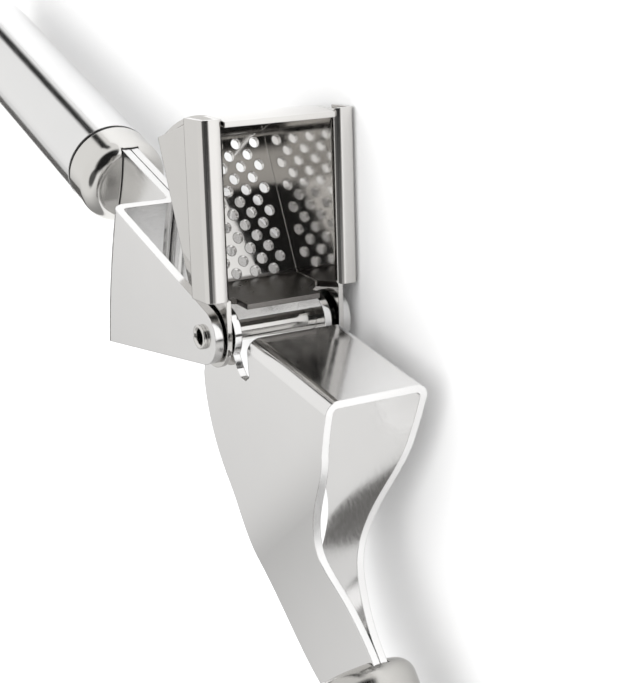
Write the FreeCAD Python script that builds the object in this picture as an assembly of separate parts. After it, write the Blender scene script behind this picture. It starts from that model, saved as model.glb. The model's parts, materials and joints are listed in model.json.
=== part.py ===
import FreeCAD, Part
import math
import os

# Garlic press lying on its side, open, with its swing-out hopper turned halfway.
# The origin is the middle of the pivot. +Z runs along the pivot, -X runs along the
# lower lever's handle. Lengths are millimetres, angles are degrees about +Z.

# Open pose of the two moving pieces
hopper_angle = 110.35       # direction of the hopper's length
press_angle = 8.86          # direction of the pressing plate

# Pivot: a hollow rivet through three pairs of ears
rivet_radius = 2.0
rivet_bore_radius = 1.5
rivet_head_radius = 2.4
rivet_head_height = 0.8
rivet_mouth = 0.35          # countersink at each end of the rivet's bore
running_gap = 0.05          # radial, between the rivet and the ears that turn on it
side_gap = 0.3              # between faces of bodies that move past each other
seat_gap = 0.05             # between pieces of one body that are pushed or welded together

# Lower lever: two mirrored cheeks, each one folded sheet
cheek_sheet = 1.8
cheek_half_width = 14.85    # outer face of a cheek, from the middle plane
cheek_ear_radius = 5.4
cheek_back_top = (-43.6, 5.1)
cheek_back_bottom = (-40.1, -25.7)
cheek_back_radius = 133.0   # the back fold bulges gently
cheek_bend = 1.0            # inner radius of the folds
strap_split = 0.1           # half of the gap between the two straps

# Hopper: one folded tray with a welded end wall
hopper_sheet = 1.0
hopper_ear_radius = 6.3
flange_height = 6.8         # flange face above the pivot, on the open side
flange_start = 7.5          # along the hopper, from the pivot
flange_end = 41.2
flange_bend = 0.8           # inner radius
lip_half_width = 16.3
lip_depth = 7.2
wall_top_half_width = 11.7  # inner face of a side wall at the flange
wall_draft = 1.8
floor_start = (7.6, -8.7)
floor_slope = 22.4
end_wall_radius = 41.2      # outer face of the end wall, curved about the pivot
near_wall_top = (6.2, 5.6)
near_wall_top_half_width = 7.9
near_wall_step = (-2.0, 1.5)  # heights where the near wall starts and stops to narrow
floor_fold = 1.0            # inner radius between the floor and the side walls
hole_radius = 1.08
hole_pitch = 4.13           # across the floor
row_pitch = 2.35            # along the floor
hole_rows = 12
holes_per_row = (5, 4)
far_hole_margin = 2.3       # from the end wall to the first row

# Press lever: one folded channel whose front face is the pressing plate
press_sheet = 1.5
press_half_width = 10.6
press_ear_radius = 5.3
plate_height = 2.9          # pressing face, from the pivot
plate_start = 9.9
plate_end = 38.1
plate_fold = 1.0            # inner radius
pinch_start = 28.0          # along the handle, where the channel's walls start to close
pinch_tight_radius = 24.0
press_strap_half = 1.55     # outer face of the closed walls

# Handles: the same on both levers
handle_radius = 10.0
handle_face = 66.0          # from the pivot, along the handle
lower_handle_drop = 3.8     # handle axis below the pivot
upper_handle_drop = 15.4
upper_handle_angle = 40.0   # between the pressing plate and the handle
ferrule_crown = 0.5
ferrule_shoulder = 3.5
ferrule_band = 9.5
spigot_depth = 12.5
spigot_clearance = 0.05
seal_thickness = 1.0
seal_recess = 0.5
tube_wall = 0.85
tube_length = 84.0
cap_spigot = 8.0
cap_band = 1.5
cap_shoulder = 5.0
cap_crown = 1.2
strap_lead = 1.0            # straight part of the strap just before the ferrule
strap_half_height = 8.8
strap_seat = 8.0
tang_half_height = 6.0
tang_depth = 18.0
slot_clearance = 0.2
lock_pin_radius = 1.5
lock_pin_place = 14.0

cheek_strap_half = strap_split + cheek_sheet
spigot_radius = handle_radius - tube_wall - spigot_clearance


def vec(x, y, z=0.0):
    """Return a FreeCAD vector."""
    return FreeCAD.Vector(x, y, z)


def turned(shape, angle, x=0.0, y=0.0):
    """Return a copy of a shape turned about Z and then moved in the XY plane."""
    copy = shape.copy()
    copy.Placement = FreeCAD.Placement(vec(x, y), FreeCAD.Rotation(vec(0, 0, 1), angle))
    return copy


def along(angle, length=1.0):
    """Return the XY offset of a length in a direction."""
    turn = math.radians(angle)
    return (length * math.cos(turn), length * math.sin(turn))


def mirrored(shape):
    """Return the other hand of a shape, across the middle plane."""
    return shape.mirror(vec(0, 0, 0), vec(0, 0, 1))


def tangent_point(point, radius, side):
    """Return where the line from a point touches a circle about the pivot."""
    distance = math.hypot(*point)
    turn = math.atan2(point[1], point[0]) + side * math.acos(radius / distance)
    return (radius * math.cos(turn), radius * math.sin(turn))


def rounded_edges(points, radii):
    """Return the edges of an open path with a radius at each inner corner."""
    corners = [vec(*point) for point in points]
    edges = []
    start = corners[0]
    for before, corner, after, radius in zip(corners, corners[1:], corners[2:], radii):
        incoming = (corner - before).normalize()
        outgoing = (after - corner).normalize()
        half_turn = incoming.getAngle(outgoing) / 2
        reach = radius * math.tan(half_turn)
        arc_start = corner - incoming * reach
        arc_end = corner + outgoing * reach
        inward = (outgoing - incoming).normalize()
        middle = corner + inward * radius * (1 / math.cos(half_turn) - 1)
        if (arc_start - start).Length > 1e-6:
            edges.append(Part.LineSegment(start, arc_start).toShape())
        edges.append(Part.Arc(arc_start, middle, arc_end).toShape())
        start = arc_end
    edges.append(Part.LineSegment(start, corners[-1]).toShape())
    return edges


def folded_section(points, thickness, bend, side):
    """Return the face of a folded strip.

    The points run along one face of the sheet, and side is +1 where the sheet lies
    to the left of that path and -1 where it lies to the right. bend is the inner
    radius of every fold.
    """
    path = [vec(*point) for point in points]
    directions = [(b - a).normalize() for a, b in zip(path, path[1:])]
    normals = [vec(-d.y, d.x) * side for d in directions]
    other = [path[0] + normals[0] * thickness]
    near_radii = []
    far_radii = []
    for index in range(1, len(path) - 1):
        before, after = normals[index - 1], normals[index]
        other.append(path[index] + (before + after) * (thickness / (1 + before.dot(after))))
        towards_sheet = directions[index].dot(before) > 0
        near_radii.append(bend + thickness if towards_sheet else bend)
        far_radii.append(bend if towards_sheet else bend + thickness)
    other.append(path[-1] + normals[-1] * thickness)
    near_edges = rounded_edges(path, near_radii)
    far_edges = rounded_edges(other[::-1], far_radii[::-1])
    ends = [Part.LineSegment(path[-1], other[-1]).toShape(),
            Part.LineSegment(other[0], path[0]).toShape()]
    return Part.Face(Part.Wire(Part.__sortEdges__(near_edges + far_edges + ends)))


def prism(edges, low, high):
    """Return the solid between two heights over an outline in the XY plane."""
    face = Part.Face(Part.Wire(Part.__sortEdges__(edges)))
    face.translate(vec(0, 0, low))
    return face.extrude(vec(0, 0, high - low))


def polygon_prism(points, low, high):
    """Return the solid between two heights over a closed polygon."""
    corners = [vec(*point) for point in points]
    wire = Part.makePolygon(corners + [corners[0]])
    face = Part.Face(wire)
    face.translate(vec(0, 0, low))
    return face.extrude(vec(0, 0, high - low))


def drilled(shape, point, radius):
    """Return a shape with a round hole along Z."""
    drill = Part.makeCylinder(radius, 80, vec(point[0], point[1], -40))
    return shape.cut(drill)


def turned_profile(edges):
    """Return the solid of a half profile in the XY plane, turned about the X axis."""
    face = Part.Face(Part.Wire(Part.__sortEdges__(edges)))
    return face.revolve(vec(0, 0, 0), vec(1, 0, 0), 360)


def crowned_profile(length, crown, shoulder, spigot):
    """Return half-profile edges of a round cap with a crowned face and a spigot.

    The shoulder's front lies at X = 0, the band ends at length and the spigot
    follows it.
    """
    face_edge = handle_radius - shoulder
    shoulder_middle = shoulder * (1 - math.sin(math.pi / 4))
    crown_middle_height = face_edge / 2
    crown_radius = (crown ** 2 + face_edge ** 2) / (2 * crown)
    crown_middle = crown_radius - crown - math.sqrt(crown_radius ** 2 - crown_middle_height ** 2)
    line_points = [vec(shoulder, handle_radius), vec(length, handle_radius),
                   vec(length, spigot_radius), vec(length + spigot, spigot_radius),
                   vec(length + spigot, 0), vec(-crown, 0)]
    edges = [Part.LineSegment(a, b).toShape() for a, b in zip(line_points, line_points[1:])]
    edges.append(Part.Arc(vec(-crown, 0), vec(crown_middle, crown_middle_height),
                          vec(0, face_edge)).toShape())
    edges.append(Part.Arc(vec(0, face_edge),
                          vec(shoulder_middle, handle_radius - shoulder_middle),
                          vec(shoulder, handle_radius)).toShape())
    return edges


def make_ferrule(strap_half):
    """Polished cap at the handle's front, slotted for the lever's straps."""
    solid = turned_profile(
        crowned_profile(ferrule_band, ferrule_crown, ferrule_shoulder, spigot_depth))
    half_gap = strap_half + slot_clearance
    for half_height, depth in ((strap_half_height, strap_seat), (tang_half_height, tang_depth)):
        reach = half_height + slot_clearance
        slot = Part.makeBox(depth + slot_clearance + 5, 2 * reach, 2 * half_gap,
                            vec(-5, -reach, -half_gap))
        solid = solid.cut(slot)
    return drilled(solid, (lock_pin_place, 0), lock_pin_radius + spigot_clearance)


def make_seal_ring():
    """Thin dark ring between the ferrule and the tube."""
    outer = Part.makeCylinder(handle_radius - seal_recess, seal_thickness,
                              vec(ferrule_band, 0, 0), vec(1, 0, 0))
    bore = Part.makeCylinder(spigot_radius + spigot_clearance, seal_thickness,
                             vec(ferrule_band, 0, 0), vec(1, 0, 0))
    return outer.cut(bore)


def make_tube():
    """Satin tube that the hand holds."""
    start = vec(ferrule_band + seal_thickness, 0, 0)
    outer = Part.makeCylinder(handle_radius, tube_length, start, vec(1, 0, 0))
    bore = Part.makeCylinder(handle_radius - tube_wall, tube_length, start, vec(1, 0, 0))
    return outer.cut(bore)


def make_end_cap():
    """Domed plug that closes the tube's free end."""
    solid = turned_profile(
        crowned_profile(cap_shoulder + cap_band, cap_crown, cap_shoulder, cap_spigot))
    rim = ferrule_band + seal_thickness + tube_length + cap_shoulder + cap_band
    return turned(solid, 180, rim, 0)


def make_lock_pin():
    """Pin through the ferrule's spigot that holds the straps in it."""
    half = spigot_radius - 0.1
    return Part.makeCylinder(lock_pin_radius, 2 * half, vec(lock_pin_place, 0, -half))


def tang_corners(origin, angle, side):
    """Return one side of the strap's end, from its seat to its tip."""
    direction = along(angle)
    across = (-direction[1] * side, direction[0] * side)
    places = ((-strap_lead, strap_half_height), (strap_seat, strap_half_height),
              (strap_seat, tang_half_height), (tang_depth, tang_half_height))
    return [(origin[0] + direction[0] * a + across[0] * b,
             origin[1] + direction[1] * a + across[1] * b) for a, b in places]


lower_handle_origin = (-handle_face, -lower_handle_drop)
lower_handle_turn = 180.0

upper_direction = along(-upper_handle_angle)
upper_across = along(90 - upper_handle_angle)
upper_handle_origin = (upper_direction[0] * handle_face - upper_across[0] * upper_handle_drop,
                       upper_direction[1] * handle_face - upper_across[1] * upper_handle_drop)


def upper_point(axial, height):
    """Return a point of the press lever from its place along and above the handle."""
    return (upper_direction[0] * axial + upper_across[0] * height,
            upper_direction[1] * axial + upper_across[1] * height)


def make_cheek():
    """Lower lever's left cheek: side plate, shoulder and strap folded from one sheet."""
    middle = [(a + b) / 2 for a, b in zip(cheek_back_top, cheek_back_bottom)]
    chord = [a - b for a, b in zip(cheek_back_top, cheek_back_bottom)]
    half_chord = math.hypot(*chord) / 2
    inward = (chord[1] / (2 * half_chord), -chord[0] / (2 * half_chord))
    reach = math.sqrt(cheek_back_radius ** 2 - half_chord ** 2)
    centre = (middle[0] + inward[0] * reach, middle[1] + inward[1] * reach)
    section = folded_section([(cheek_back_radius - 60, cheek_half_width),
                              (cheek_back_radius, cheek_half_width),
                              (cheek_back_radius, cheek_strap_half),
                              (cheek_back_radius + 60, cheek_strap_half)],
                             cheek_sheet, cheek_bend, -1)
    section.rotate(vec(0, 0, 0), vec(1, 0, 0), 90)
    sweep = 30
    facing = math.degrees(math.atan2(-inward[1], -inward[0]))
    section.rotate(vec(0, 0, 0), vec(0, 0, 1), facing - sweep / 2)
    section.translate(vec(*centre))
    sheet = section.revolve(vec(*centre), vec(0, 0, 1), sweep)

    top_touch = tangent_point(cheek_back_top, cheek_ear_radius, -1)
    bottom_touch = tangent_point(cheek_back_bottom, cheek_ear_radius, 1)
    upper_side = tang_corners(lower_handle_origin, lower_handle_turn, -1)
    lower_side = tang_corners(lower_handle_origin, lower_handle_turn, 1)
    below_shoulder = (cheek_back_bottom[0] - 4, cheek_back_bottom[1] - 2)
    outline = [top_touch, cheek_back_top] + upper_side + lower_side[::-1]
    outline += [below_shoulder, cheek_back_bottom, bottom_touch]
    corners = [vec(*point) for point in outline]
    edges = [Part.LineSegment(a, b).toShape() for a, b in zip(corners, corners[1:])]
    edges.append(Part.Arc(corners[-1], vec(cheek_ear_radius, 0), corners[0]).toShape())
    cheek = sheet.common(prism(edges, 0, cheek_half_width + 1))
    cheek = drilled(cheek, (0, 0), rivet_radius + running_gap)
    pin_place = (lower_handle_origin[0] - lock_pin_place, lower_handle_origin[1])
    return drilled(cheek, pin_place, lock_pin_radius + spigot_clearance)


def make_rivet():
    """Hollow rivet with a rolled head at each end."""
    half_shank = cheek_half_width + 0.02
    half_length = half_shank + rivet_head_height
    body = Part.makeCylinder(rivet_radius, 2 * half_length, vec(0, 0, -half_length))
    for side in (1, -1):
        start = vec(0, 0, side * half_shank)
        head = Part.makeCylinder(rivet_head_radius, rivet_head_height, start, vec(0, 0, side))
        rim = [edge for edge in head.Edges
               if abs(edge.BoundBox.ZMin - side * half_length) < 1e-6
               and abs(edge.BoundBox.ZMax - side * half_length) < 1e-6]
        head = head.makeFillet(rivet_head_height * 0.4, rim)
        body = body.fuse(head)
    bore = Part.makeCylinder(rivet_bore_radius, 2 * half_length, vec(0, 0, -half_length))
    body = body.cut(bore)
    for side in (1, -1):
        mouth = Part.makeCone(rivet_bore_radius, rivet_bore_radius + rivet_mouth, rivet_mouth,
                              vec(0, 0, side * (half_length - rivet_mouth)), vec(0, 0, side))
        body = body.cut(mouth)
    return body.removeSplitter()


# The hopper is drawn with X along its length and Y away from its open side, so a
# height above the pivot on the open side is -Y.
floor_direction = along(floor_slope)
floor_normal = along(floor_slope + 90)


def floor_point(distance, depth=0.0):
    """Return a point on the hopper's floor, or below it by depth."""
    return (floor_start[0] + floor_direction[0] * distance + floor_normal[0] * depth,
            -floor_start[1] + floor_direction[1] * distance + floor_normal[1] * depth)


def floor_length(inset, depth):
    """Return how far the floor runs before it meets the curved end wall."""
    start = floor_point(0, depth)
    forward = start[0] * floor_direction[0] + start[1] * floor_direction[1]
    aside = start[0] * floor_normal[0] + start[1] * floor_normal[1]
    return math.sqrt((end_wall_radius - inset) ** 2 - aside ** 2) - forward


def wall_half_width(height):
    """Return the inner half width between the side walls at a height."""
    return wall_top_half_width - (flange_height - height) * math.tan(math.radians(wall_draft))


def sheet_along_hopper(points, side, bend):
    """Return a folded strip, given as (height, Z) points, swept along X."""
    face = folded_section(points, hopper_sheet, bend, side)
    face.Placement = FreeCAD.Placement(FreeCAD.Matrix(0, 0, -1, -10,
                                                      -1, 0, 0, 0,
                                                      0, 1, 0, 0,
                                                      0, 0, 0, 1))
    return face.extrude(vec(70, 0, 0))


def make_hopper_side():
    """One side wall of the hopper with its ear, flange and returned lip."""
    deep = -30.0
    wall_low = (deep, wall_half_width(deep))
    flanged = sheet_along_hopper([wall_low,
                                  (flange_height, wall_half_width(flange_height)),
                                  (flange_height, lip_half_width),
                                  (flange_height - lip_depth, lip_half_width)],
                                 1, flange_bend)
    plain = sheet_along_hopper([wall_low, (20.0, wall_half_width(20.0))], 1, flange_bend)

    below_start = floor_point(-1.5 * hopper_sheet, hopper_sheet)
    below_end = floor_point(floor_length(0, hopper_sheet), hopper_sheet)
    flange_box = [(flange_start, -flange_height - 1), (flange_end, -flange_height - 1),
                  (flange_end, 0), below_end, below_start, (flange_start, below_start[1])]
    far_part = flanged.common(polygon_prism(flange_box, 0, lip_half_width + 1))
    round_end = Part.makeCylinder(end_wall_radius, 60, vec(0, 0, -30))
    beyond = polygon_prism([(20, flange_bend + hopper_sheet - flange_height), (60, -flange_height),
                            (60, 60), (20, 60)], 0, wall_top_half_width + hopper_sheet + 0.1)
    far_part = far_part.cut(beyond.cut(round_end))

    top_touch = (0.0, -hopper_ear_radius)
    low_touch = tangent_point(below_start, hopper_ear_radius, -1)
    low_touch = low_touch if low_touch[0] < 0 else tangent_point(
        below_start, hopper_ear_radius, 1)
    overlap = flange_start + hopper_sheet
    corners = [vec(*low_touch), vec(*below_start),
               vec(*floor_point(2 * hopper_sheet, hopper_sheet)),
               vec(overlap, -flange_height + flange_bend + hopper_sheet),
               vec(flange_start, -hopper_ear_radius), vec(*top_touch)]
    edges = [Part.LineSegment(a, b).toShape() for a, b in zip(corners, corners[1:])]
    edges.append(Part.Arc(corners[-1], vec(-hopper_ear_radius, 0), corners[0]).toShape())
    near_part = plain.common(prism(edges, 0, lip_half_width + 1))
    return far_part.fuse(near_part)


def make_hopper_floor():
    """Perforated floor between the side walls."""
    inset = hopper_sheet + seat_gap
    length = floor_length(inset, 0)
    length_below = floor_length(inset, hopper_sheet)
    outline = [floor_point(-hopper_sheet), floor_point(length),
               floor_point(length_below, hopper_sheet),
               floor_point(-hopper_sheet, hopper_sheet)]
    reach = wall_half_width(floor_start[1]) + hopper_sheet / 2
    floor = polygon_prism(outline, -reach, reach)
    drills = []
    for row in range(hole_rows):
        count = holes_per_row[row % 2]
        distance = length - far_hole_margin - row * row_pitch
        foot = floor_point(distance, 3 * hopper_sheet)
        for index in range(count):
            across = (index - (count - 1) / 2) * hole_pitch
            drills.append(Part.makeCylinder(hole_radius, 6 * hopper_sheet,
                                            vec(foot[0], foot[1], across),
                                            vec(-floor_normal[0], -floor_normal[1], 0)))
    return floor.cut(Part.makeCompound(drills))


def make_near_wall():
    """Low wall at the hinge end of the hopper, narrowed to pass between the ears of
    the press lever."""
    foot = floor_point(-hopper_sheet, hopper_sheet)
    top = (near_wall_top[0], -near_wall_top[1])
    lean = math.hypot(top[0] - floor_start[0], top[1] + floor_start[1])
    back = ((top[1] + floor_start[1]) / lean * hopper_sheet,
            (floor_start[0] - top[0]) / lean * hopper_sheet)
    outline = [(floor_start[0], -floor_start[1]), top, (top[0] + back[0], top[1] + back[1]),
               foot]
    reach = wall_half_width(floor_start[1]) + hopper_sheet / 2
    low, high = near_wall_step
    half_view = [(20, reach), (-low, reach), (-high, near_wall_top_half_width),
                 (-20, near_wall_top_half_width)]
    view = half_view + [(y, -z) for y, z in half_view[::-1]]
    corners = [vec(0, y, z) for y, z in view]
    seen = Part.Face(Part.makePolygon(corners + [corners[0]])).extrude(vec(20, 0, 0))
    return polygon_prism(outline, -reach, reach).common(seen)


def make_hopper_tray():
    """Hopper's folded tray."""
    side = make_hopper_side()
    tray = side.fuse([mirrored(side), make_hopper_floor(), make_near_wall()])
    tray = tray.removeSplitter()
    return drilled(tray, (0, 0), rivet_radius + running_gap)


def make_end_wall():
    """Hopper's curved end wall, welded between the side walls."""
    below = floor_point(floor_length(0, hopper_sheet), hopper_sheet)
    ring = Part.makeCylinder(end_wall_radius, 60, vec(0, 0, -30)).cut(
        Part.makeCylinder(end_wall_radius - hopper_sheet, 60, vec(0, 0, -30)))
    height = below[1] + flange_height
    slab = Part.makeBox(30, height, 60, vec(20, -flange_height, -30))
    top, bottom = 10.0, -30.0
    half_space = [(-top, wall_half_width(top) - seat_gap),
                  (-bottom, wall_half_width(bottom) - seat_gap)]
    space = half_space + [(y, -z) for y, z in half_space[::-1]]
    corners = [vec(0, y, z) for y, z in space]
    between = Part.Face(Part.makePolygon(corners + [corners[0]])).extrude(vec(60, 0, 0))
    return ring.common(slab).common(between)


def pinch_arcs():
    """Return the second radius and the turn of the curve that closes the walls."""
    drop = press_half_width - press_strap_half
    run = handle_face - pinch_start
    turn = 2 * math.atan(drop / run)
    return run / math.sin(turn) - pinch_tight_radius, turn


def pinched_wall_section():
    """Return the section of the press lever's left wall, as (along the handle, Z)."""
    easy_radius, turn = pinch_arcs()
    middle_axial = pinch_start + pinch_tight_radius * math.sin(turn)
    middle_z = press_half_width - pinch_tight_radius * (1 - math.cos(turn))
    tip = handle_face + tang_depth + 5
    rear = -40.0
    faces = []
    for inset in (0.0, press_sheet):
        tight = pinch_tight_radius - inset
        easy = easy_radius + inset
        half = turn / 2
        join = vec(middle_axial - inset * math.sin(turn), middle_z - inset * math.cos(turn))
        start = vec(pinch_start, press_half_width - inset)
        end = vec(handle_face, press_strap_half - inset)
        first = vec(pinch_start + tight * math.sin(half),
                    press_half_width - inset - tight * (1 - math.cos(half)))
        second = vec(handle_face - easy * math.sin(half),
                     press_strap_half - inset + easy * (1 - math.cos(half)))
        faces.append([Part.LineSegment(vec(rear, start.y), start).toShape(),
                      Part.Arc(start, first, join).toShape(),
                      Part.Arc(join, second, end).toShape(),
                      Part.LineSegment(end, vec(tip, end.y)).toShape()])
    ends = [Part.LineSegment(vec(x, outer), vec(x, outer - press_sheet)).toShape()
            for x, outer in ((rear, press_half_width), (tip, press_strap_half))]
    return Part.Face(Part.Wire(Part.__sortEdges__(faces[0] + faces[1] + ends)))


def make_press_wall():
    """Left wall of the press lever with its ear and its strap."""
    section = pinched_wall_section()
    section.rotate(vec(0, 0, 0), vec(1, 0, 0), 90)
    section.translate(vec(0, 80, 0))
    wall = section.extrude(vec(0, -160, 0))
    wall.rotate(vec(0, 0, 0), vec(0, 0, 1), -upper_handle_angle)

    leg = plate_height - plate_fold - press_sheet
    front_side = tang_corners(upper_handle_origin, -upper_handle_angle, 1)
    rear_side = tang_corners(upper_handle_origin, -upper_handle_angle, -1)
    front_edge = [(plate_end, leg), (36.9, -8.0), (33.6, -19.5), (31.2, -28.0),
                  (31.7, -34.0), (36.4, -39.3), (43.0, -44.9), front_side[0]]
    rear_edge = [upper_point(handle_face - 2.0, -28.8), (23.3, -58.1), (15.8, -44.5),
                 (10.6, -32.9), (3.7, -26.9), (-3.0, -19.0), (-6.3, -11.0)]
    front_curve = Part.BSplineCurve()
    front_curve.interpolate([vec(*point) for point in front_edge[1:]])
    rear_curve = Part.BSplineCurve()
    rear_curve.interpolate([vec(*point) for point in rear_edge])
    ear_back = tangent_point(rear_edge[-1], press_ear_radius, -1)
    ear_front = along(-28, press_ear_radius)
    ear_top = along(80, press_ear_radius)

    straight = [front_edge[0], front_edge[1]]
    tang = front_side + rear_side[::-1] + [rear_edge[0]]
    notch = [ear_front, (6.6, -4.6), (8.0, -5.6), (10.0, -5.6), (11.2, -4.4),
             (plate_start, leg), (plate_end, leg)]
    edges = [Part.LineSegment(vec(*a), vec(*b)).toShape()
             for chain in (straight, tang, notch) for a, b in zip(chain, chain[1:])]
    edges.append(front_curve.toShape())
    edges.append(rear_curve.toShape())
    edges.append(Part.LineSegment(vec(*rear_edge[-1]), vec(*ear_back)).toShape())
    edges.append(Part.Arc(vec(*ear_back), vec(*ear_top), vec(*ear_front)).toShape())
    return wall.common(prism(edges, 0, press_half_width + 1))


def make_press_plate():
    """Pressing plate with its two folds."""
    leg = plate_height - plate_fold - press_sheet
    section = folded_section([(leg - 0.01, press_half_width), (plate_height, press_half_width),
                              (plate_height, -press_half_width),
                              (leg - 0.01, -press_half_width)],
                             press_sheet, plate_fold, -1)
    section.Placement = FreeCAD.Placement(FreeCAD.Matrix(0, 0, 1, plate_start,
                                                         1, 0, 0, 0,
                                                         0, 1, 0, 0,
                                                         0, 0, 0, 1))
    return section.extrude(vec(plate_end - plate_start, 0, 0))


def make_press_channel():
    """Press lever's folded channel."""
    wall = make_press_wall()
    channel = wall.fuse([mirrored(wall), make_press_plate()]).removeSplitter()
    channel = drilled(channel, (0, 0), rivet_radius + running_gap)
    pin_place = upper_point(handle_face + lock_pin_place, -upper_handle_drop)
    return drilled(channel, pin_place, lock_pin_radius + spigot_clearance)


def make_handle(prefix, strap_half, origin, angle):
    """Return the five pieces of one handle, in their places."""
    pieces = {"ferrule": make_ferrule(strap_half), "seal_ring": make_seal_ring(),
              "tube": make_tube(), "end_cap": make_end_cap(), "lock_pin": make_lock_pin()}
    placed = {}
    for name, shape in pieces.items():
        copy = shape.copy()
        copy.rotate(vec(0, 0, 0), vec(0, 0, 1), angle)
        copy.translate(vec(*origin))
        placed[prefix + "_" + name] = copy
    return placed


def build():
    """Return every node's shape in the open pose."""
    cheek = make_cheek()
    nodes = {"cheek_left": cheek, "cheek_right": mirrored(cheek), "pivot_rivet": make_rivet()}
    nodes.update(make_handle("lower", cheek_strap_half, lower_handle_origin, lower_handle_turn))
    hopper = {"hopper_tray": make_hopper_tray(), "hopper_end_wall": make_end_wall()}
    press = {"press_channel": make_press_channel()}
    press.update(make_handle("upper", press_strap_half, upper_handle_origin,
                             -upper_handle_angle))
    for pieces, angle in ((hopper, hopper_angle), (press, press_angle)):
        for name, shape in pieces.items():
            shape.rotate(vec(0, 0, 0), vec(0, 0, 1), angle)
            nodes[name] = shape
    return nodes


os.makedirs("parts", exist_ok=True)
for node, shape in build().items():
    shape.exportStep("parts/" + node + ".step")
    print(node, "solids", len(shape.Solids), "volume", round(shape.Volume, 1),
          "valid", shape.isValid())
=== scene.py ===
# %% [markdown]
# # A garlic press, lying open on a table
# The press was built as solid parts first. This lesson loads those parts, gives each
# one a surface made of shader nodes, and lights them like a small studio.
# Lengths are metres. The origin is the middle of the pivot, and +Z runs along it.

# %% [markdown]
# ## Start clean and load the parts
# The scene is emptied first. The parts then come in with their places fixed, and their
# overall size is kept.

# %% Tools and the fixed frame
import json
import math
import bpy
from mathutils import Matrix, Vector

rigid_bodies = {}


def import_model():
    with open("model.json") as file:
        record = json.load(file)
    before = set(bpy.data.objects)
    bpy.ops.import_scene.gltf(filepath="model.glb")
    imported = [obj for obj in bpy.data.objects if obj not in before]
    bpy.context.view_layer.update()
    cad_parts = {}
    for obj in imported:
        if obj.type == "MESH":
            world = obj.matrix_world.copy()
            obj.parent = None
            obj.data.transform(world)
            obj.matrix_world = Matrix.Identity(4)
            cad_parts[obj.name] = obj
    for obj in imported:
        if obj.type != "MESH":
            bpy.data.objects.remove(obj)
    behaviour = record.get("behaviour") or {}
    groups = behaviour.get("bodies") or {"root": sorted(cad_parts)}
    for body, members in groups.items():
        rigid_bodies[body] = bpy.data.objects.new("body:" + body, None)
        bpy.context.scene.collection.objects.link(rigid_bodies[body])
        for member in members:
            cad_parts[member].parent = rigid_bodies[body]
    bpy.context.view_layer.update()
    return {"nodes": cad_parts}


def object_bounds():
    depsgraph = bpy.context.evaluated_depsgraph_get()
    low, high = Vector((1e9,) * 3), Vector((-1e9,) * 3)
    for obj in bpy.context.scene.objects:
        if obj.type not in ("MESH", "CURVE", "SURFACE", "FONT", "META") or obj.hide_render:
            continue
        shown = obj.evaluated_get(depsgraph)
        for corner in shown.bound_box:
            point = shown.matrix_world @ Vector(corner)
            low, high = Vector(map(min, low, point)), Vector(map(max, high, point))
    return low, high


bpy.ops.object.select_all(action="SELECT")
bpy.ops.object.delete()
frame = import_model()
print("nodes:", sorted(frame["nodes"]))

# %% [markdown]
# ## One node group for worn steel
# Real steel is never perfectly even. The group below makes slow clouds and one
# stretched, fine grain, and hands back a colour, a roughness and a normal. It knows
# nothing about lights, so every metal in the scene can share it.

# %% The shared steel group
def add_socket(group, name, kind, in_out, default=None):
    socket = group.interface.new_socket(name=name, in_out=in_out, socket_type=kind)
    if default is not None:
        socket.default_value = default
    return socket


steel_group = bpy.data.node_groups.new("SteelSurface", "ShaderNodeTree")
add_socket(steel_group, "Light colour", "NodeSocketColor", "INPUT", (0.8, 0.8, 0.8, 1))
add_socket(steel_group, "Dark colour", "NodeSocketColor", "INPUT", (0.6, 0.6, 0.6, 1))
add_socket(steel_group, "Smooth", "NodeSocketFloat", "INPUT", 0.1)
add_socket(steel_group, "Rough", "NodeSocketFloat", "INPUT", 0.2)
add_socket(steel_group, "Grain scale", "NodeSocketVector", "INPUT", (200, 200, 200))
add_socket(steel_group, "Grain depth", "NodeSocketFloat", "INPUT", 0.1)
add_socket(steel_group, "Colour", "NodeSocketColor", "OUTPUT")
add_socket(steel_group, "Roughness", "NodeSocketFloat", "OUTPUT")
add_socket(steel_group, "Normal", "NodeSocketVector", "OUTPUT")
print("sockets:", len(steel_group.interface.items_tree))

# %% [markdown]
# Two kinds of noise drive the group. The clouds are slow and mix the two colours. The
# grain is multiplied by a direction first, so it can be drawn out into brush lines.

# %% Clouds and grain
nodes = steel_group.nodes
links = steel_group.links
inputs = nodes.new("NodeGroupInput")
outputs = nodes.new("NodeGroupOutput")
place = nodes.new("ShaderNodeTexCoord")
clouds = nodes.new("ShaderNodeTexNoise")
clouds.inputs["Scale"].default_value = 45
clouds.inputs["Detail"].default_value = 3
links.new(place.outputs["Object"], clouds.inputs["Vector"])
stretch = nodes.new("ShaderNodeVectorMath")
stretch.operation = "MULTIPLY"
links.new(place.outputs["Object"], stretch.inputs[0])
links.new(inputs.outputs["Grain scale"], stretch.inputs[1])
grain = nodes.new("ShaderNodeTexNoise")
grain.inputs["Scale"].default_value = 1
grain.inputs["Detail"].default_value = 4
links.new(stretch.outputs["Vector"], grain.inputs["Vector"])
print("noises: clouds and grain")

# %% [markdown]
# The clouds choose a colour, and the grain chooses how rough each spot is.

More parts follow.
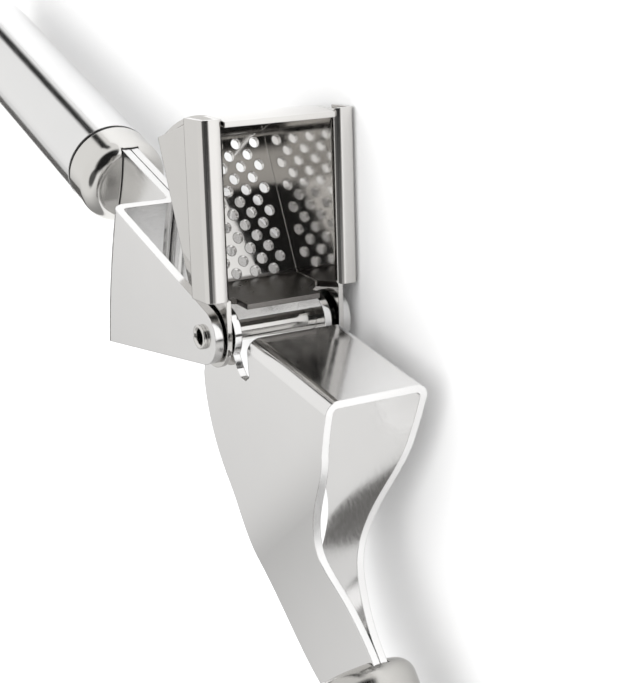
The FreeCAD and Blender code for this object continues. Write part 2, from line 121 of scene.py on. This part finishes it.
# %% Colour and roughness
colours = nodes.new("ShaderNodeMix")
colours.data_type = "RGBA"
links.new(clouds.outputs["Fac"], colours.inputs["Factor"])
links.new(inputs.outputs["Light colour"], colours.inputs["A"])
links.new(inputs.outputs["Dark colour"], colours.inputs["B"])
links.new(colours.outputs["Result"], outputs.inputs["Colour"])
spread = nodes.new("ShaderNodeMapRange")
links.new(grain.outputs["Fac"], spread.inputs["Value"])
spread.inputs["From Min"].default_value = 0.3
spread.inputs["From Max"].default_value = 0.7
links.new(inputs.outputs["Smooth"], spread.inputs["To Min"])
links.new(inputs.outputs["Rough"], spread.inputs["To Max"])
links.new(spread.outputs["Result"], outputs.inputs["Roughness"])
print("outputs joined: colour and roughness")

# %% [markdown]
# Cut steel always has a slightly broken edge that catches the light. The bevel node
# rounds the shading there without touching the mesh, and the grain is added on top.

# %% Soft edges and fine grain
soft_edge = nodes.new("ShaderNodeBevel")
soft_edge.samples = 6
soft_edge.inputs["Radius"].default_value = 0.00025
bump = nodes.new("ShaderNodeBump")
links.new(soft_edge.outputs["Normal"], bump.inputs["Normal"])
bump.inputs["Distance"].default_value = 0.0001
links.new(inputs.outputs["Grain depth"], bump.inputs["Strength"])
links.new(grain.outputs["Fac"], bump.inputs["Height"])
links.new(bump.outputs["Normal"], outputs.inputs["Normal"])
print("group nodes:", len(nodes))

# %% [markdown]
# ## Metals
# Each metal sets its own numbers on the group and keeps its own shader. The grain
# scale is small along the direction the metal was brushed and large across it.

# %% A function that makes one metal
def make_metal(name, light, dark, smooth, rough, grain_scale, depth):
    material = bpy.data.materials.new(name)
    material.use_nodes = True
    tree = material.node_tree
    shader = tree.nodes["Principled BSDF"]
    shader.inputs["Metallic"].default_value = 1.0
    surface = tree.nodes.new("ShaderNodeGroup")
    surface.node_tree = steel_group
    surface.inputs["Light colour"].default_value = (*light, 1)
    surface.inputs["Dark colour"].default_value = (*dark, 1)
    surface.inputs["Smooth"].default_value = smooth
    surface.inputs["Rough"].default_value = rough
    surface.inputs["Grain scale"].default_value = grain_scale
    surface.inputs["Grain depth"].default_value = depth
    tree.links.new(surface.outputs["Colour"], shader.inputs["Base Color"])
    tree.links.new(surface.outputs["Roughness"], shader.inputs["Roughness"])
    tree.links.new(surface.outputs["Normal"], shader.inputs["Normal"])
    return material


print("make_metal is ready")

# %% [markdown]
# Six metals come from the same function. The two tubes point in different directions,
# so each has its own grain scale.

# %% The metals
satin = make_metal("SatinTube", (0.80, 0.80, 0.80), (0.74, 0.74, 0.74), 0.11, 0.16,
                   (150, 3000, 3000), 0.05)
satin_upper = make_metal("SatinTubeUpper", (0.80, 0.80, 0.80), (0.74, 0.74, 0.74), 0.13, 0.18,
                         (900, 900, 3000), 0.05)
mirror = make_metal("PolishedSteel", (0.70, 0.69, 0.67), (0.62, 0.61, 0.59), 0.08, 0.15,
                    (300, 300, 300), 0.02)
sheet = make_metal("LeverSheet", (0.79, 0.785, 0.78), (0.73, 0.725, 0.72), 0.16, 0.24,
                   (400, 2500, 900), 0.06)
press_sheet = make_metal("PressSheet", (0.81, 0.805, 0.80), (0.76, 0.755, 0.75), 0.10, 0.16,
                         (400, 1500, 900), 0.04)
tray = make_metal("HopperSheet", (0.70, 0.69, 0.67), (0.60, 0.585, 0.57), 0.05, 0.12,
                  (500, 500, 500), 0.03)

print("metals:", [m.name for m in (satin, satin_upper, mirror, sheet, press_sheet, tray)])

# %% [markdown]
# ## A duller patch of painted shade on the tray
# The low wall at the hopper's hinge end is duller than the tray, with painted shade in its
# colour.
# The low wall at the hopper's hinge end is duller and darker than the tray around it.
# Two masks find it: one along the hopper's length and one across its width.

# %% Masks for the low wall
tray_tree = tray.node_tree
tray_shader = tray_tree.nodes["Principled BSDF"]
tray_surface = next(n for n in tray_tree.nodes if n.type == "GROUP")
tray_place = tray_tree.nodes.new("ShaderNodeTexCoord")


def low_side(axis, limit, absolute=False):
    """Return a mask that is one where the place along an axis is below a limit."""
    dot = tray_tree.nodes.new("ShaderNodeVectorMath")
    dot.operation = "DOT_PRODUCT"
    dot.inputs[1].default_value = axis
    tray_tree.links.new(tray_place.outputs["Object"], dot.inputs[0])
    value = dot.outputs["Value"]
    if absolute:
        size = tray_tree.nodes.new("ShaderNodeMath")
        size.operation = "ABSOLUTE"
        tray_tree.links.new(value, size.inputs[0])
        value = size.outputs[0]
    step = tray_tree.nodes.new("ShaderNodeMapRange")
    step.inputs["From Min"].default_value = limit - 0.0002
    step.inputs["From Max"].default_value = limit + 0.0002
    step.inputs["To Min"].default_value = 1.0
    step.inputs["To Max"].default_value = 0.0
    tray_tree.links.new(value, step.inputs["Value"])
    return step.outputs["Result"]


# This mask marks where the tray is rougher and where painted shade darkens its colour.
near_wall_dull_and_shade_mask = tray_tree.nodes.new("ShaderNodeMath")
near_wall_dull_and_shade_mask.operation = "MULTIPLY"
tray_tree.links.new(low_side((-0.3478, 0.9376, 0), 0.0082), near_wall_dull_and_shade_mask.inputs[0])
tray_tree.links.new(low_side((0, 0, 1), 0.0111, True), near_wall_dull_and_shade_mask.inputs[1])
print("low wall masked on", tray.name)

# %% [markdown]
# The mask raises the roughness and pulls the colour down into painted shade. The group's
# own roughness and colour still come through everywhere else.

# %% Dull the low wall and paint shade on it
dull = tray_tree.nodes.new("ShaderNodeMath")
dull.operation = "MULTIPLY_ADD"
dull.inputs[1].default_value = 0.22
tray_tree.links.new(near_wall_dull_and_shade_mask.outputs[0], dull.inputs[0])
tray_tree.links.new(tray_surface.outputs["Roughness"], dull.inputs[2])
tray_tree.links.new(dull.outputs[0], tray_shader.inputs["Roughness"])
shade = tray_tree.nodes.new("ShaderNodeMix")
shade.data_type = "RGBA"
# Painted shade: the low wall's colour is pulled down to this dark tone.
shade.inputs["B"].default_value = (0.20, 0.19, 0.18, 1)
tray_tree.links.new(near_wall_dull_and_shade_mask.outputs[0], shade.inputs["Factor"])
tray_tree.links.new(tray_surface.outputs["Colour"], shade.inputs["A"])
tray_tree.links.new(shade.outputs["Result"], tray_shader.inputs["Base Color"])

print("tray roughness and colour now follow the mask")

# %% [markdown]
# ## Brushed ferrule and black ring
# The press lever's ferrule is brushed, and its colour is darkened as painted shade, in
# place of a darker reflection. The seal ring in each handle's groove is a dark, slightly
# mottled rubber.

# %% Ferrule and ring materials
# Painted shade: this ferrule's colour is darkened to stand in for a darker reflection.
brushed_shaded_steel = make_metal("BrushedShadedFerrule", (0.56, 0.55, 0.53), (0.48, 0.47, 0.45), 0.16, 0.26,
                     (900, 900, 3000), 0.06)

seal = bpy.data.materials.new("SealRing")
seal.use_nodes = True
seal_tree = seal.node_tree
seal_shader = seal_tree.nodes["Principled BSDF"]
seal_noise = seal_tree.nodes.new("ShaderNodeTexNoise")
seal_noise.inputs["Scale"].default_value = 600
seal_ramp = seal_tree.nodes.new("ShaderNodeValToRGB")
seal_ramp.color_ramp.elements[0].color = (0.010, 0.010, 0.011, 1)
seal_ramp.color_ramp.elements[1].color = (0.035, 0.034, 0.033, 1)
seal_tree.links.new(seal_noise.outputs["Fac"], seal_ramp.inputs["Fac"])
seal_tree.links.new(seal_ramp.outputs["Color"], seal_shader.inputs["Base Color"])
seal_shader.inputs["Roughness"].default_value = 0.45

print("made:", brushed_shaded_steel.name, seal.name)

# %% [markdown]
# ## Paint every part
# Each part gets one material. The parts keep the meshes and places they came with.

# %% Give each part its material
finishes = {
    "cheek_left": sheet, "cheek_right": sheet, "pivot_rivet": mirror,
    "lower_ferrule": mirror, "lower_tube": satin, "lower_end_cap": mirror,
    "lower_seal_ring": seal, "lower_lock_pin": mirror,
    "upper_ferrule": brushed_shaded_steel, "upper_tube": satin_upper, "upper_end_cap": mirror,
    "upper_seal_ring": seal, "upper_lock_pin": mirror,
    "hopper_tray": tray, "hopper_end_wall": tray, "press_channel": press_sheet,
}
for name, material in finishes.items():
    piece = frame["nodes"][name]
    piece.data.materials.clear()
    piece.data.materials.append(material)
print("painted:", len(finishes))

# %% [markdown]
# ## Table
# The table is a large pale plane just under the press's lowest point.

# %% Floor
low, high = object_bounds()
bpy.ops.object.select_all(action="DESELECT")
bpy.ops.mesh.primitive_plane_add(size=6, location=(0, 0, low.z - 0.0002))
floor = bpy.context.object
floor.name = "floor"
floor_paint = bpy.data.materials.new("Table")
floor_paint.use_nodes = True
floor_tree = floor_paint.node_tree
floor_noise = floor_tree.nodes.new("ShaderNodeTexNoise")
floor_noise.inputs["Scale"].default_value = 8
floor_ramp = floor_tree.nodes.new("ShaderNodeValToRGB")
floor_ramp.color_ramp.elements[0].color = (0.72, 0.72, 0.72, 1)
floor_ramp.color_ramp.elements[1].color = (0.75, 0.75, 0.75, 1)
floor_shader = floor_tree.nodes["Principled BSDF"]
floor_tree.links.new(floor_noise.outputs["Fac"], floor_ramp.inputs["Fac"])
floor_tree.links.new(floor_ramp.outputs["Color"], floor_shader.inputs["Base Color"])
floor_shader.inputs["Roughness"].default_value = 0.9
floor.data.materials.append(floor_paint)
print("table height:", round(floor.location.z, 5))

# %% [markdown]
# ## Room
# The world shader draws a bright tent with a few dark shapes, because polished steel
# only looks like steel when it has something dark to reflect. Three small functions
# do the arithmetic on the direction in which a ray leaves.

# %% World helpers
world = bpy.data.worlds.new("Tent")
bpy.context.scene.world = world
world.use_nodes = True
world.cycles.sampling_method = "NONE"
tree = world.node_tree
tree.nodes.clear()
sky = tree.nodes.new("ShaderNodeTexCoord")


def along_axis(axis):
    """Return how far the view direction points along an axis, from -1 to 1."""
    dot = tree.nodes.new("ShaderNodeVectorMath")
    dot.operation = "DOT_PRODUCT"
    dot.inputs[1].default_value = Vector(axis).normalized()
    tree.links.new(sky.outputs["Generated"], dot.inputs[0])
    return dot.outputs["Value"]


def ramp(value, start, end, first, last):
    """Return a smooth change from one level to another as a value grows."""
    node = tree.nodes.new("ShaderNodeMapRange")
    node.interpolation_type = "SMOOTHSTEP"
    node.inputs["From Min"].default_value = start
    node.inputs["From Max"].default_value = end
    node.inputs["To Min"].default_value = first
    node.inputs["To Max"].default_value = last
    tree.links.new(value, node.inputs["Value"])
    return node.outputs["Result"]


def combine(operation, first, second):
    """Return the sum, product or other combination of two values."""
    node = tree.nodes.new("ShaderNodeMath")
    node.operation = operation
    for socket, value in zip(node.inputs, (first, second)):
        if isinstance(value, float):
            socket.default_value = value
        else:
            tree.links.new(value, socket)
    return node.outputs[0]


print("world helpers ready")

# %% [markdown]
# ### Dark shapes in the tent
# A narrow strip gives the round tube its thin dark line. The tent also falls off
# towards the far left, and is dark where the camera stands and above it.

# %% Dark shapes
# The strip is kept to the +Y side
strip = ramp(combine("ABSOLUTE", along_axis((0, -0.32, 0.947)), 0.0), 0.045, 0.12, 0.02, 1.0)
strip_side = ramp(along_axis((0, 1, 0)), 0.05, 0.3, 0.0, 1.0)
strip_fade = ramp(along_axis((1, 0, 0)), -0.5, 0.0, 1.0, 0.0)
keep = combine("MULTIPLY", strip_side, strip_fade)
strip = combine("ADD", combine("MULTIPLY", strip, keep), combine("SUBTRACT", 1.0, keep))
# The tent falls off towards the far left
falloff = ramp(along_axis((0, -0.766, -0.643)), -0.1, 0.7, 1.0, 0.35)
# Dark shapes where the camera stands and above it
camera_patch = ramp(along_axis((0.66, 0.62, 0.42)), 0.74, 0.90, 1.0, 0.02)
upper_patch = ramp(along_axis((0.55, -0.06, 0.83)), 0.90, 0.97, 1.0, 0.12)
level = combine("MULTIPLY", combine("MULTIPLY", strip, falloff),
                combine("MULTIPLY", camera_patch, upper_patch))

print("tent shapes: strip, falloff and two patches")

# %% [markdown]
# ### Three kinds of ray
# Mirror-like rays see the tent. Soft light comes from an even fill. Rays straight from
# the camera see plain white.

# %% Join the world
rays = tree.nodes.new("ShaderNodeLightPath")
mirror_ray = combine("MAXIMUM", rays.outputs["Is Glossy Ray"],
                     rays.outputs["Is Transmission Ray"])
tent = tree.nodes.new("ShaderNodeBackground")
tent.inputs["Color"].default_value = (1.0, 0.995, 0.985, 1)
tree.links.new(level, tent.inputs["Strength"])
fill = tree.nodes.new("ShaderNodeBackground")
fill.inputs["Color"].default_value = (1, 1, 1, 1)
fill.inputs["Strength"].default_value = 1.62
white = tree.nodes.new("ShaderNodeBackground")
white.inputs["Color"].default_value = (1, 1, 1, 1)
white.inputs["Strength"].default_value = 1.0
pick_mirror = tree.nodes.new("ShaderNodeMixShader")
tree.links.new(mirror_ray, pick_mirror.inputs["Fac"])
tree.links.new(fill.outputs[0], pick_mirror.inputs[1])
tree.links.new(tent.outputs[0], pick_mirror.inputs[2])
pick_camera = tree.nodes.new("ShaderNodeMixShader")
tree.links.new(rays.outputs["Is Camera Ray"], pick_camera.inputs["Fac"])
tree.links.new(pick_mirror.outputs[0], pick_camera.inputs[1])
tree.links.new(white.outputs[0], pick_camera.inputs[2])
world_out = tree.nodes.new("ShaderNodeOutputWorld")
tree.links.new(pick_camera.outputs[0], world_out.inputs["Surface"])
print("world nodes:", len(tree.nodes))

# %% [markdown]
# ## Lamp
# One wide lamp overhead gives the table a soft shadow. It is hidden from mirror-like
# rays so that it leaves no square patch in the steel.

# %% Lamp
bpy.ops.object.light_add(type="AREA", location=(0.1, 0.2, 0.8))
lamp = bpy.context.object
lamp.name = "overhead"
lamp.data.shape = "RECTANGLE"
lamp.data.size = 0.9
lamp.data.size_y = 0.9
lamp.data.energy = 3.0
lamp.visible_glossy = False
lamp.rotation_mode = "QUATERNION"
lamp.rotation_quaternion = Vector((-0.1, -0.2, -0.8)).to_track_quat("-Z", "Y")
print("lamp power:", lamp.data.energy)

# %% [markdown]
# A dark card stands beyond the lower handle, outside the picture. The round tube
# picks it up along one edge, and that is what makes the tube look round.

# %% Dark card
bpy.ops.object.select_all(action="DESELECT")
bpy.ops.mesh.primitive_cube_add(size=1, location=(-0.42, -0.16, low.z + 0.045))
card = bpy.context.object
card.name = "dark_card"
card.scale = (0.44, 0.004, 0.09)
bpy.ops.object.transform_apply(location=True, rotation=True, scale=True)
card_paint = bpy.data.materials.new("CardPaint")
card_paint.use_nodes = True
card_tree = card_paint.node_tree
card_noise = card_tree.nodes.new("ShaderNodeTexNoise")
card_noise.inputs["Scale"].default_value = 40
card_ramp = card_tree.nodes.new("ShaderNodeValToRGB")
card_ramp.color_ramp.elements[0].color = (0.05, 0.048, 0.045, 1)
card_ramp.color_ramp.elements[1].color = (0.09, 0.085, 0.08, 1)
card_tree.links.new(card_noise.outputs["Fac"], card_ramp.inputs["Fac"])
card_tree.links.new(card_ramp.outputs["Color"],
                    card_tree.nodes["Principled BSDF"].inputs["Base Color"])
card.data.materials.append(card_paint)
card.visible_camera = False
print("card size:", [round(side, 3) for side in card.dimensions])

# %% [markdown]
# ## Camera
# The camera looks down on the press from its upper end, turned on its side so that the
# pivot runs across the frame. Its three directions are made square to each other.

# %% Camera
camera_data = bpy.data.cameras.new("Camera")
camera = bpy.data.objects.new("Camera", camera_data)
bpy.context.scene.collection.objects.link(camera)
camera_data.sensor_width = 36.0
camera_data.lens = 84.5
camera_data.clip_start = 0.01
camera_data.clip_end = 20
right = Vector((0.494, 0.152, -0.856)).normalized()
back = Vector((0.694, 0.524, 0.494)).normalized()
up = back.cross(right).normalized()
right = up.cross(back).normalized()
camera.matrix_world = Matrix(((right.x, up.x, back.x, 0.2211), (right.y, up.y, back.y, 0.1609),
                              (right.z, up.z, back.z, 0.1452), (0, 0, 0, 1)))
bpy.context.scene.camera = camera
bpy.context.scene.view_settings.view_transform = "Standard"
print("lens:", camera_data.lens)
